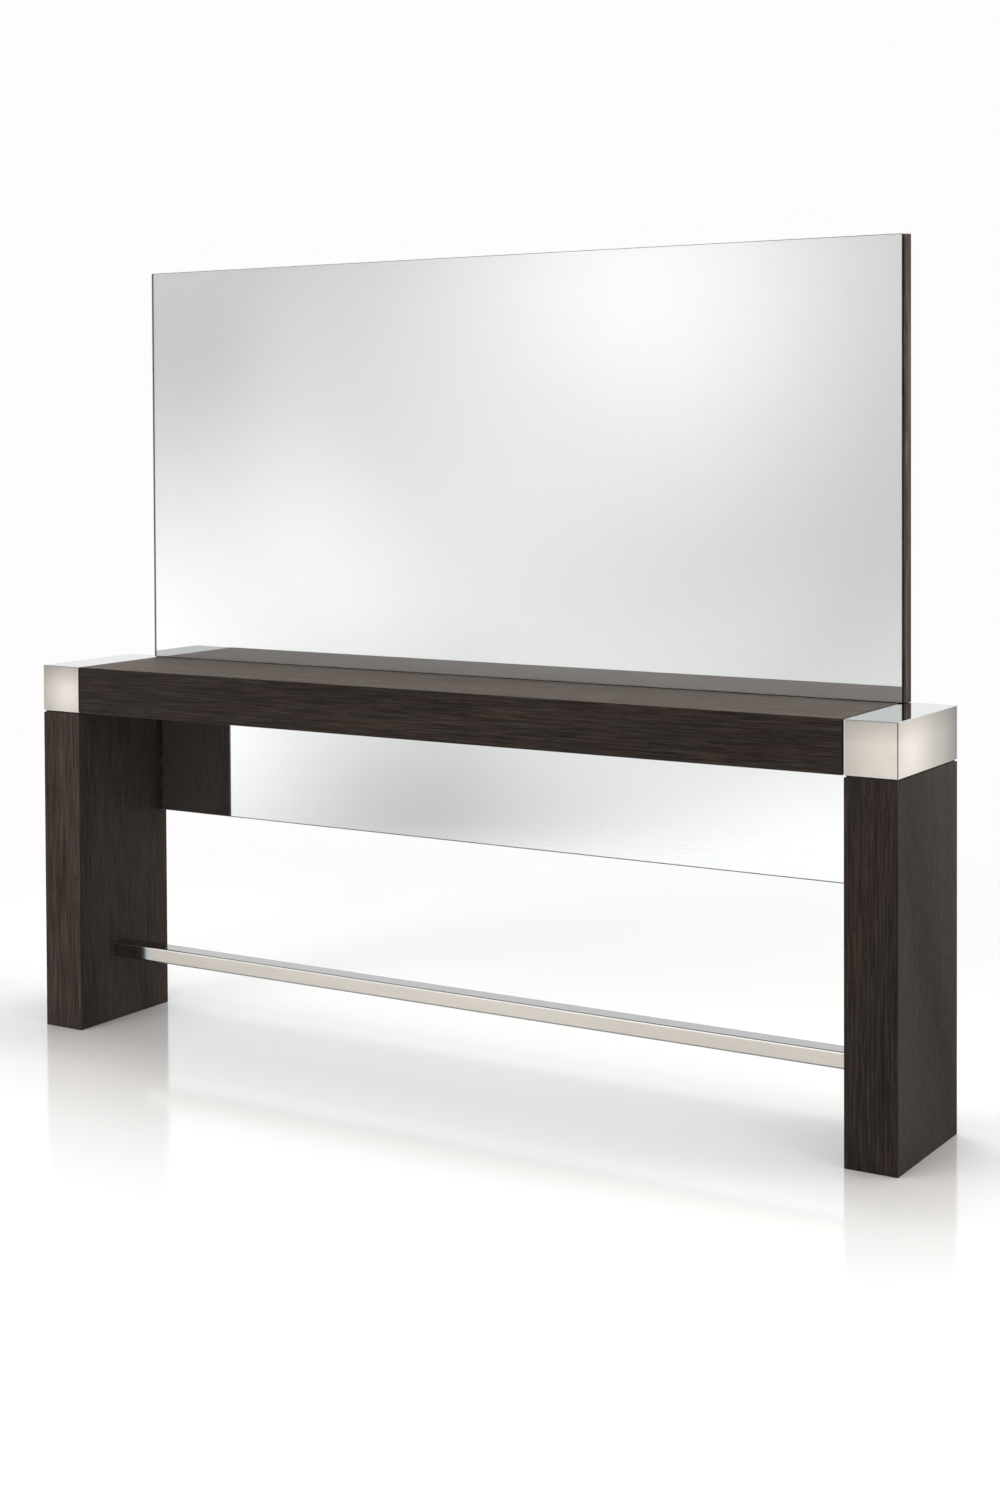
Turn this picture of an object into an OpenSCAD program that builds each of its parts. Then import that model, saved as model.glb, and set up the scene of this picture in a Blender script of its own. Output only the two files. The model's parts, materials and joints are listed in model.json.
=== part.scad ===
// Free-standing styling station: two veneered box legs with steel corner caps, a shelf beam
// between them, a large mirror that passes behind the beam, and a steel tube as a footrest.
// Millimetres. The origin is on the floor, under the middle of the station: X runs along its
// length, the front faces -Y, and Z is up.

/* [Station] */
// Overall length, over the outer faces of the two legs
station_length = 2200; // [1800:10:2600]
// Overall depth, from the front of the legs to their back
station_depth = 320; // [300:5:400]
// Height of the shelf above the floor
shelf_height = 878; // [820:2:960]

/* [Legs] */
// Width of each leg, seen from the front
leg_width = 112; // [104:2:150]
// Thickness of the legs' veneered boards
leg_board = 19; // [16:1:24]
// Width of the flat along the boards' outer edges
arris = 0.8; // [0.4:0.1:1.5]
// Height of the solid block in the top of a leg
head_block_height = 60; // [40:5:90]
// Height of the solid block that carries the levelling feet
foot_block_height = 50; // [45:5:80]

/* [Caps] */
// Height of the steel corner caps, and of the beam between them
cap_height = 110; // [94:2:140]
// Thickness of the caps' folded sheet
cap_sheet = 1.5; // [1:0.1:3]
// Width of the shadow gaps between the caps, the legs and the beam
reveal = 4; // [2:0.5:6]
// How far the black spacers in the shadow gaps are set back
reveal_depth = 4; // [2:0.5:8]

/* [Beam] */
// Thickness of the beam's veneered boards
beam_board = 19; // [16:1:22]
// Width of each steel stretcher inside the beam
stretcher_width = 30; // [20:2:40]
// Wall of the stretchers
stretcher_wall = 2.5; // [1.5:0.5:4]
// Thickness of the steel plates at the beam's ends
end_plate = 6; // [4:1:10]
// Number of ribs between the stretchers
rib_count = 3; // [1:2:5]
// Thickness of each rib
rib_thickness = 18; // [12:1:25]

/* [Mirror] */
// Height of the mirror's top edge above the floor
mirror_top = 1838; // [1600:2:2000]
// Height of the mirror's lower edge above the floor
mirror_bottom = 495; // [440:5:600]
// Thickness of the glass
glass_thickness = 6; // [4:1:8]
// Thickness of the bonding tape behind the glass
tape_thickness = 1; // [0.5:0.5:2]
// Width of the bonding tape
tape_width = 36; // [20:2:40]
// Thickness of the steel flats that carry the glass
flat_thickness = 6; // [5:1:10]
// Width of the steel flats
flat_width = 50; // [44:2:70]
// Number of upright flats
upright_count = 4; // [4:2:6]
// How far the flats are set back from the edges of the glass
flat_inset = 8; // [4:1:20]
// Thickness of the veneered panel on the mirror's back
panel_thickness = 20; // [16:1:25]
// How far the upper glass reaches over each cap
glass_overlap = 6; // [2:1:12]
// How far the back panel shows beside the upper glass
panel_margin = 7; // [2:1:12]
// Width of the rubber seals beside the lower glass
seal_width = 10; // [4:1:15]
// Thickness of the rubber pads under the upper glass
setting_pad = 1.5; // [1:0.5:3]
// Length of each rubber pad
setting_pad_length = 60; // [40:5:100]
// Rows of screws in the back panel
screw_rows = 4; // [3:1:5]

/* [Footrest] */
// Depth of the footrest bar, from front to back
bar_depth = 50; // [40:1:60]
// Height of the footrest bar
bar_height = 35; // [30:1:50]
// Wall of the bar
bar_wall = 2; // [1.5:0.5:3]
// Height of the bar's top face above the floor
bar_top = 192; // [160:2:300]
// Distance from the legs' front to the bar's front
bar_setback = 118; // [100:2:160]
// Length of the plug in each end of the bar
plug_length = 35; // [25:5:60]
// Thickness of the block that backs the bar's fixing inside a leg
bar_block_thickness = 25; // [15:1:40]

/* [Levelling feet] */
// Diameter of the foot pads
pad_diameter = 40; // [30:1:48]
// Thickness of the foot pads
pad_thickness = 8; // [6:1:10]
// Diameter of the threaded studs
stud_diameter = 10; // [8:1:12]
// Length of the threaded studs
stud_length = 60; // [50:5:75]
// Length of the threaded inserts
insert_length = 25; // [15:1:30]

/* [Fixings] */
// Diameter of the bolts in the caps and the beam's ends
frame_bolt = 8; // [6:1:10]
// Diameter of the bolts that hold the footrest bar and the mirror's flats
light_bolt = 6; // [5:1:6]
// Diameter of the screws in the back panel
panel_screw = 5; // [4:0.5:5]
// Depth to which the frame bolts enter the caps' cores
bolt_grip = 40; // [30:5:45]

/* [Hidden] */
$fn = 48;

// Clearances
bolt_play = 0.5;       // radial, round a bolt that passes through a board
thread_play = 0.06;    // radial, round a stud in its insert and its pad
swivel_gap = 0.2;      // between a stud and the pad it turns on
wound_in_gap = 0.6;    // between a stud's hexagon and its insert, wound fully in
floor_gap = 0.5;       // under a pad, wound fully in
fit_gap = 1;           // round the back panel, where it passes the caps and the legs
pane_gap = 2;          // between the lower glass and the beam above it
wall_gap = 6;          // between a foot pad and the leg's wall
screw_tip_gap = 1;     // between a panel screw's tip and the front of its flat

// Leg and cap positions, on the right-hand side
half_length = station_length / 2;
half_depth = station_depth / 2;
leg_inner = half_length - leg_width;
leg_middle = half_length - leg_width / 2;
cap_bottom = shelf_height - cap_height;
leg_top = cap_bottom - reveal;
head_block_bottom = leg_top - head_block_height;
cavity_inner = leg_inner + leg_board;
cavity_outer = half_length - leg_board;
cavity_y = half_depth - leg_board;

// The mirror's layers, from the back of the station forwards
panel_front = half_depth - panel_thickness;
flat_front = panel_front - flat_thickness;
tape_front = flat_front - tape_thickness;
glass_front = tape_front - glass_thickness;

// Beam
beam_end = leg_inner - reveal;
beam_back = flat_front;
beam_inside = beam_end - end_plate;
beam_low = [-beam_end, -half_depth, cap_bottom];
beam_depth = beam_back + half_depth;
beam_middle_y = (beam_back - half_depth) / 2;
beam_middle_z = cap_bottom + cap_height / 2;
hollow_front = -half_depth + beam_board;
hollow_back = beam_back - beam_board;
hollow_bottom = cap_bottom + beam_board;
hollow_top = shelf_height - beam_board;

// Mirror panes and what carries them
upper_half = leg_inner + glass_overlap;
lower_half = leg_inner - seal_width;
upper_bottom = shelf_height + setting_pad;
lower_top = cap_bottom - pane_gap;
frame_half = lower_half - flat_inset;
frame_bottom = mirror_bottom + flat_inset;
frame_top = mirror_top - flat_inset;
upright_low = frame_bottom + flat_width;
upright_high = frame_top - flat_width;
upright_reach = frame_half - flat_width / 2;
upright_pitch = 2 * upright_reach / (upright_count - 1);
upright_places = [for (i = [0 : upright_count - 1]) -upright_reach + i * upright_pitch];
screw_pitch = (upright_high - upright_low) / screw_rows;
screw_places = [for (i = [0 : screw_rows - 1]) upright_low + (i + 0.5) * screw_pitch];

// Footrest bar
bar_bottom = bar_top - bar_height;
bar_front = -half_depth + bar_setback;
bar_back = bar_front + bar_depth;
bar_middle = [0, bar_front + bar_depth / 2, bar_top - bar_height / 2];
bar_bolt_reach = bar_depth / 2 - bar_wall - 1.5 * light_bolt;
bar_block_margin = 15;

// Bolt places: in Y for the caps, in Y and Z for the beam's ends, in Z for the mirror's flats
cap_bolt_y = half_depth - 45;
end_bolt_y = 55;
end_bolt_rise = 17;
upright_bolt_rise = 18;
upright_bolt_reach = flat_thickness + beam_board + stretcher_wall + 4;

// Levelling feet, from the floor up
hexagon_height = 5;
flange_thickness = 2;
socket_depth = 5;
insert_diameter = stud_diameter + 4;
flange_diameter = insert_diameter + 4;
pad_top = floor_gap + pad_thickness;
stud_bottom = pad_top - socket_depth + swivel_gap;
hexagon_bottom = pad_top + swivel_gap;
flange_bottom = hexagon_bottom + hexagon_height + wound_in_gap;
foot_block_bottom = flange_bottom + flange_thickness;
foot_y = cavity_y - wall_gap - pad_diameter / 2;

// Shared shapes

// A box from its lowest corner to its highest
module block(low, high) {
    translate(low) cube(high - low);
}

// A veneered board with mitred long edges: its outer face lies on y = 0, from x = 0 to width
module mitred_board(width, thickness, length) {
    linear_extrude(length)
        polygon([
            [arris, 0],
            [width - arris, 0],
            [width - arris / 2, arris / 2],
            [width - thickness, thickness],
            [thickness, thickness],
            [arris / 2, arris / 2]
        ]);
}

// Rods for bolt holes, along X and along Y
module rod_x(diameter, from_x, to_x) {
    translate([from_x, 0, 0]) rotate([0, 90, 0]) cylinder(d = diameter, h = to_x - from_x);
}
module rod_y(diameter, from_y, to_y) {
    translate([0, from_y, 0]) rotate([-90, 0, 0]) cylinder(d = diameter, h = to_y - from_y);
}

// A socket-head bolt along +Z, with the underside of its head at z = 0
module socket_bolt(diameter, length) {
    head_height = 0.7 * diameter;
    difference() {
        union() {
            cylinder(d = diameter, h = length);
            translate([0, 0, -head_height]) cylinder(d = 1.6 * diameter, h = head_height);
        }
        translate([0, 0, -head_height - 1])
            cylinder(d = 0.9 * diameter, h = head_height / 2 + 1, $fn = 6);
    }
}

// A countersunk screw along +Z, with the top of its head at z = 0
module flat_screw(diameter, length) {
    difference() {
        flat_screw_body(diameter, diameter, length);
        translate([0, 0, -1]) cylinder(d = 0.7 * diameter, h = 0.3 * diameter + 1, $fn = 6);
    }
}

// A countersunk screw's outside, or the hole that it fits
module flat_screw_body(head, diameter, length) {
    cylinder(d1 = 2 * head, d2 = diameter, h = 0.5 * head);
    cylinder(d = diameter, h = length);
}

// Both sides of the station from one right-hand shape
module on_left() {
    mirror([1, 0, 0]) children();
}
module both_sides() {
    children();
    on_left() children();
}

// The two levelling feet of the right-hand leg
module at_foot(side) {
    translate([leg_middle, side * foot_y, 0]) children();
}

// Bolt places, repeated

module at_cap_bolts() {
    for (side = [-1, 1])
        translate([leg_middle, side * cap_bolt_y, 0]) children();
}
module at_end_bolts() {
    for (side = [-1, 1], level = [-1, 1])
        translate([0, beam_middle_y + side * end_bolt_y, beam_middle_z + level * end_bolt_rise])
            children();
}
module at_upright_bolts() {
    for (x = upright_places, level = [-1, 1])
        translate([x, 0, beam_middle_z + level * upright_bolt_rise]) children();
}
module at_bar_bolts() {
    for (side = [-1, 1])
        translate(bar_middle + [0, side * bar_bolt_reach, 0]) children();
}
module at_panel_screws() {
    for (x = upright_places, z = screw_places)
        translate([x, 0, z]) children();
}

// Legs

module leg_outer_board() {
    color("#3e3835")
        translate([half_length, -half_depth, 0])
            rotate([0, 0, 90]) mitred_board(station_depth, leg_board, leg_top);
}

module leg_inner_board() {
    color("#3e3835")
        difference() {
            translate([leg_inner, half_depth, 0])
                rotate([0, 0, -90]) mitred_board(station_depth, leg_board, leg_top);
            at_bar_bolts()
                rod_x(light_bolt + 2 * bolt_play, leg_inner - 1, cavity_inner + 1);
        }
}

module leg_front_board() {
    color("#433c39")
        translate([leg_inner, -half_depth, 0]) mitred_board(leg_width, leg_board, leg_top);
}

module leg_back_board() {
    color("#433c39")
        translate([half_length, half_depth, 0])
            rotate([0, 0, 180]) mitred_board(leg_width, leg_board, leg_top);
}

module leg_head_block() {
    color("#b39a75")
        difference() {
            block([cavity_inner, -cavity_y, head_block_bottom], [cavity_outer, cavity_y, leg_top]);
            at_cap_bolts()
                translate([0, 0, head_block_bottom - 1])
                    cylinder(d = frame_bolt + 2 * bolt_play, h = head_block_height + 2);
        }
}

module leg_foot_block() {
    color("#b39a75")
        difference() {
            block([cavity_inner, -cavity_y, foot_block_bottom],
                  [cavity_outer, cavity_y, foot_block_bottom + foot_block_height]);
            for (side = [-1, 1])
                at_foot(side)
                    translate([0, 0, foot_block_bottom - 1])
                        cylinder(d = insert_diameter, h = foot_block_height + 2);
        }
}

module leg_bar_block() {
    color("#b39a75")
        difference() {
            block([cavity_inner, bar_front - bar_block_margin, bar_bottom - bar_block_margin],
                  [cavity_inner + bar_block_thickness, bar_back + bar_block_margin,
                   bar_top + bar_block_margin]);
            at_bar_bolts()
                rod_x(light_bolt + 2 * bolt_play, cavity_inner - 1,
                      cavity_inner + bar_block_thickness + 1);
        }
}

// Caps

module cap_spacer() {
    color("#1b1b1c")
        difference() {
            block([leg_inner + reveal_depth, -half_depth + reveal_depth, leg_top],
                  [half_length - reveal_depth, half_depth - reveal_depth, cap_bottom]);
            at_cap_bolts()
                translate([0, 0, leg_top - 1])
                    cylinder(d = frame_bolt + 2 * bolt_play, h = reveal + 2);
        }
}

module cap_shell() {
    color("#d9d1c8")
        difference() {
            block([leg_inner, -half_depth, cap_bottom], [half_length, half_depth, shelf_height]);
            block([leg_inner + cap_sheet, -half_depth + cap_sheet, cap_bottom - 1],
                  [half_length - cap_sheet, half_depth - cap_sheet, shelf_height - cap_sheet]);
            at_end_bolts()
                rod_x(frame_bolt + 2 * bolt_play, leg_inner - 1, leg_inner + cap_sheet + 1);
        }
}

module cap_core() {
    color("#b39a75")
        difference() {
            block([leg_inner + cap_sheet, -half_depth + cap_sheet, cap_bottom],
                  [half_length - cap_sheet, half_depth - cap_sheet, shelf_height - cap_sheet]);
            at_cap_bolts()
                translate([0, 0, cap_bottom - 1]) cylinder(d = frame_bolt, h = bolt_grip + 1);
            at_end_bolts()
                rod_x(frame_bolt, leg_inner, leg_inner + cap_sheet + bolt_grip);
        }
}

// Beam

module beam_spacer() {
    color("#1b1b1c")
        difference() {
            block([beam_end, -half_depth + reveal_depth, cap_bottom + reveal_depth],
                  [leg_inner, beam_back - reveal_depth, shelf_height - reveal_depth]);
            at_end_bolts()
                rod_x(frame_bolt + 2 * bolt_play, beam_end - 1, leg_inner + 1);
        }
}

module beam_end_plate() {
    color("#7d8083")
        difference() {
            block([beam_inside, hollow_front, hollow_bottom], [beam_end, hollow_back, hollow_top]);
            at_end_bolts()
                rod_x(frame_bolt + 2 * bolt_play, beam_inside - 1, beam_end + 1);
        }
}

module shelf_board() {
    color("#6b625c")
        translate([-beam_end, -half_depth, shelf_height])
            rotate([90, 0, 90]) mirror([0, 1, 0])
                mitred_board(beam_depth, beam_board, 2 * beam_end);
}

module beam_bottom_board() {
    color("#3e3835")
        translate(beam_low)
            rotate([90, 0, 90]) mitred_board(beam_depth, beam_board, 2 * beam_end);
}

module beam_front_board() {
    color("#433c39")
        translate(beam_low)
            rotate([90, 0, 90]) mirror([1, -1, 0])
                mitred_board(cap_height, beam_board, 2 * beam_end);
}

module beam_rear_board() {
    color("#433c39")
        difference() {
            translate([-beam_end, beam_back, cap_bottom])
                rotate([90, 0, 90]) rotate([0, 0, 90])
                    mitred_board(cap_height, beam_board, 2 * beam_end);
            at_upright_bolts()
                rod_y(light_bolt + 2 * bolt_play, hollow_back - 1, beam_back + 1);
        }
}

// A rectangular steel tube along the beam, from its front face backwards
module stretcher(front) {
    difference() {
        block([-beam_inside, front, hollow_bottom],
              [beam_inside, front + stretcher_width, hollow_top]);
        block([-beam_inside - 1, front + stretcher_wall, hollow_bottom + stretcher_wall],
              [beam_inside + 1, front + stretcher_width - stretcher_wall,
               hollow_top - stretcher_wall]);
    }
}

module beam_front_stretcher() {
    color("#7d8083") stretcher(hollow_front);
}

module beam_rear_stretcher() {
    color("#7d8083")
        difference() {
            stretcher(hollow_back - stretcher_width);
            at_upright_bolts() rod_y(light_bolt, hollow_back - stretcher_wall - 1, hollow_back + 1);
        }
}

module beam_ribs() {
    pitch = 2 * beam_inside / (rib_count + 1);
    color("#b39a75")
        for (i = [1 : rib_count])
            translate([-beam_inside + i * pitch, 0, 0])
                block([-rib_thickness / 2, hollow_front + stretcher_width, hollow_bottom],
                      [rib_thickness / 2, hollow_back - stretcher_width, hollow_top]);
}

// Mirror

module upper_mirror() {
    color("#cfdad9")
        block([-upper_half, glass_front, upper_bottom], [upper_half, tape_front, mirror_top]);
}

module lower_mirror() {
    color("#cfdad9")
        block([-lower_half, glass_front, mirror_bottom], [lower_half, tape_front, lower_top]);
}

module edge_seal() {
    color("#1b1b1c")
        block([lower_half, glass_front, mirror_bottom], [leg_inner, panel_front, lower_top]);
}

module setting_pads() {
    color("#1b1b1c")
        for (x = upright_places)
            block([x - setting_pad_length / 2, glass_front, shelf_height],
                  [x + setting_pad_length / 2, tape_front, upper_bottom]);
}

module mirror_uprights() {
    color("#2a2b2d")
        difference() {
            for (x = upright_places)
                block([x - flat_width / 2, flat_front, upright_low],
                      [x + flat_width / 2, panel_front, upright_high]);
            at_upright_bolts()
                translate([0, panel_front, 0])
                    rotate([90, 0, 0]) flat_screw_body(light_bolt, light_bolt, flat_thickness + 1);
            at_panel_screws() rod_y(panel_screw, flat_front - 1, panel_front + 1);
        }
}

module mirror_rail(bottom) {
    block([-frame_half, flat_front, bottom], [frame_half, panel_front, bottom + flat_width]);
}

module mirror_top_rail() {
    color("#2a2b2d") mirror_rail(upright_high);
}

module mirror_bottom_rail() {
    color("#2a2b2d") mirror_rail(frame_bottom);
}

module tape_strip(from_x, to_x, from_z, to_z) {
    block([from_x, tape_front, from_z], [to_x, flat_front, to_z]);
}

module bond_tape() {
    margin = (flat_width - tape_width) / 2;
    rail_half = frame_half - margin;
    color("#f2f2ee") {
        tape_strip(-rail_half, rail_half, upright_high + margin, frame_top - margin);
        tape_strip(-rail_half, rail_half, frame_bottom + margin, upright_low - margin);
        for (x = upright_places) {
            left = x - tape_width / 2;
            right = x + tape_width / 2;
            tape_strip(left, right, upper_bottom + margin, upright_high - margin);
            tape_strip(left, right, upright_low + margin, lower_top - margin);
        }
    }
}

module back_panel() {
    upper = upper_half + panel_margin;
    lower = leg_inner - fit_gap;
    shoulder = shelf_height + fit_gap;
    color("#4a413c")
        difference() {
            translate([0, half_depth, 0])
                rotate([90, 0, 0])
                    linear_extrude(panel_thickness)
                        polygon([
                            [-lower, mirror_bottom],
                            [lower, mirror_bottom],
                            [lower, shoulder],
                            [upper, shoulder],
                            [upper, mirror_top],
                            [-upper, mirror_top],
                            [-upper, shoulder],
                            [-lower, shoulder]
                        ]);
            at_panel_screws()
                translate([0, half_depth, 0])
                    rotate([90, 0, 0])
                        flat_screw_body(panel_screw, panel_screw, panel_thickness + 1);
        }
}

// Footrest

module footrest_bar() {
    color("#d9d1c8")
        difference() {
            block([-leg_inner, bar_front, bar_bottom], [leg_inner, bar_back, bar_top]);
            block([-leg_inner - 1, bar_front + bar_wall, bar_bottom + bar_wall],
                  [leg_inner + 1, bar_back - bar_wall, bar_top - bar_wall]);
        }
}

module footrest_plug() {
    color("#7d8083")
        difference() {
            block([leg_inner - plug_length, bar_front + bar_wall, bar_bottom + bar_wall],
                  [leg_inner, bar_back - bar_wall, bar_top - bar_wall]);
            at_bar_bolts() rod_x(light_bolt, leg_inner - plug_length - 1, leg_inner + 1);
        }
}

// Levelling feet

module foot_pad() {
    color("#232324")
        translate([0, 0, floor_gap])
            difference() {
                cylinder(d = pad_diameter, h = pad_thickness);
                translate([0, 0, pad_thickness - socket_depth])
                    cylinder(d = stud_diameter + 2 * thread_play, h = socket_depth + 1);
            }
}

module foot_stud() {
    color("#9a9da0") {
        translate([0, 0, stud_bottom]) cylinder(d = stud_diameter, h = stud_length);
        translate([0, 0, hexagon_bottom])
            cylinder(d = 1.96 * stud_diameter, h = hexagon_height, $fn = 6);
    }
}

module foot_insert() {
    difference() {
        union() {
            translate([0, 0, foot_block_bottom]) cylinder(d = insert_diameter, h = insert_length);
            translate([0, 0, flange_bottom]) cylinder(d = flange_diameter, h = flange_thickness);
        }
        translate([0, 0, flange_bottom - 1])
            cylinder(d = stud_diameter + 2 * thread_play, h = insert_length + flange_thickness + 2);
    }
}

module foot_inserts() {
    color("#b08d4f")
        both_sides()
            for (side = [-1, 1])
                at_foot(side) foot_insert();
}

// Fixings

module cap_bolts() {
    color("#8d9093")
        both_sides()
            at_cap_bolts()
                translate([0, 0, head_block_bottom])
                    socket_bolt(frame_bolt, head_block_height + reveal + bolt_grip);
}

module beam_end_bolts() {
    color("#8d9093")
        both_sides()
            at_end_bolts()
                translate([beam_inside, 0, 0])
                    rotate([0, 90, 0])
                        socket_bolt(frame_bolt, end_plate + reveal + cap_sheet + bolt_grip);
}

module upright_bolts() {
    color("#8d9093")
        at_upright_bolts()
            translate([0, panel_front, 0])
                rotate([90, 0, 0]) flat_screw(light_bolt, upright_bolt_reach);
}

module footrest_bolts() {
    color("#8d9093")
        both_sides()
            at_bar_bolts()
                translate([cavity_inner + bar_block_thickness, 0, 0])
                    rotate([0, -90, 0])
                        socket_bolt(light_bolt, bar_block_thickness + leg_board + plug_length);
}

module panel_screws() {
    color("#2a2b2d")
        at_panel_screws()
            translate([0, half_depth, 0])
                rotate([90, 0, 0])
                    flat_screw(panel_screw, panel_thickness + flat_thickness - screw_tip_gap);
}

on_left() leg_outer_board();  // left_leg_outer_board
leg_outer_board();  // right_leg_outer_board
on_left() leg_inner_board();  // left_leg_inner_board
leg_inner_board();  // right_leg_inner_board
on_left() leg_front_board();  // left_leg_front_board
leg_front_board();  // right_leg_front_board
on_left() leg_back_board();  // left_leg_back_board
leg_back_board();  // right_leg_back_board
on_left() leg_head_block();  // left_leg_head_block
leg_head_block();  // right_leg_head_block
on_left() leg_foot_block();  // left_leg_foot_block
leg_foot_block();  // right_leg_foot_block
on_left() leg_bar_block();  // left_leg_bar_block
leg_bar_block();  // right_leg_bar_block
on_left() cap_spacer();  // left_cap_spacer
cap_spacer();  // right_cap_spacer
on_left() cap_shell();  // left_cap_shell
cap_shell();  // right_cap_shell
on_left() cap_core();  // left_cap_core
cap_core();  // right_cap_core
on_left() beam_spacer();  // left_beam_spacer
beam_spacer();  // right_beam_spacer
on_left() beam_end_plate();  // left_beam_end_plate
beam_end_plate();  // right_beam_end_plate
on_left() footrest_plug();  // left_footrest_plug
footrest_plug();  // right_footrest_plug
on_left() edge_seal();  // left_edge_seal
edge_seal();  // right_edge_seal
on_left() at_foot(-1) foot_pad();  // left_front_foot_pad
at_foot(-1) foot_pad();  // right_front_foot_pad
on_left() at_foot(1) foot_pad();  // left_rear_foot_pad
at_foot(1) foot_pad();  // right_rear_foot_pad
on_left() at_foot(-1) foot_stud();  // left_front_foot_stud
at_foot(-1) foot_stud();  // right_front_foot_stud
on_left() at_foot(1) foot_stud();  // left_rear_foot_stud
at_foot(1) foot_stud();  // right_rear_foot_stud
foot_inserts();
shelf_board();
beam_front_board();
beam_rear_board();
beam_bottom_board();
beam_front_stretcher();
beam_rear_stretcher();
beam_ribs();
upper_mirror();
lower_mirror();
mirror_uprights();
mirror_top_rail();
mirror_bottom_rail();
bond_tape();
setting_pads();
back_panel();
footrest_bar();
cap_bolts();
beam_end_bolts();
upright_bolts();
footrest_bolts();
panel_screws();
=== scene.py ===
import json
import math

import bmesh
import bpy
from mathutils import Matrix, Vector


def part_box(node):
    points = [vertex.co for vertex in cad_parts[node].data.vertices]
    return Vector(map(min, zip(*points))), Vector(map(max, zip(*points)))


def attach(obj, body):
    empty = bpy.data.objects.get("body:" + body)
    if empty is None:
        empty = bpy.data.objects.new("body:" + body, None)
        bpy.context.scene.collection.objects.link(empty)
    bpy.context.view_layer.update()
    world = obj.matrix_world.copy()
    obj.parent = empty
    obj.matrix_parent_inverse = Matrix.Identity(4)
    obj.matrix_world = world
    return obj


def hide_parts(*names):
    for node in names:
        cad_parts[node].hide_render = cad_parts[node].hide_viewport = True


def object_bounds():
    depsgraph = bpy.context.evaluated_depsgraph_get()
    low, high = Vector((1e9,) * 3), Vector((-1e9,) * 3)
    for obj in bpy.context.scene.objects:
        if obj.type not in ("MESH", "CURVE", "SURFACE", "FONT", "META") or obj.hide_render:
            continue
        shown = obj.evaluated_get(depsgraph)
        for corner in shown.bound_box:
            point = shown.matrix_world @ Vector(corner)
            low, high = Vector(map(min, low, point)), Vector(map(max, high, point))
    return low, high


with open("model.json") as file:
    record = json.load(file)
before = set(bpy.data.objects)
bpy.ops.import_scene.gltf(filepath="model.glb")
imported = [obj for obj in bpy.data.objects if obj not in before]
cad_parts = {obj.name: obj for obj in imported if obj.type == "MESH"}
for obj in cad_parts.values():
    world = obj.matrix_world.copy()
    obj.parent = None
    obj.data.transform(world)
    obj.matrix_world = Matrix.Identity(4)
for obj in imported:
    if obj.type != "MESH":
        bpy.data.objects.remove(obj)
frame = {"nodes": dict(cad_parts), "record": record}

# Metres, in the CAD's frame: X along the station, the front faces -Y, Z up
cad_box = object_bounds()
BODY = "station"
SIDES = ("left", "right")


# Node graphs

# The range that most of a noise's values lie in
NOISE_LOW, NOISE_HIGH = 0.35, 0.65


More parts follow.
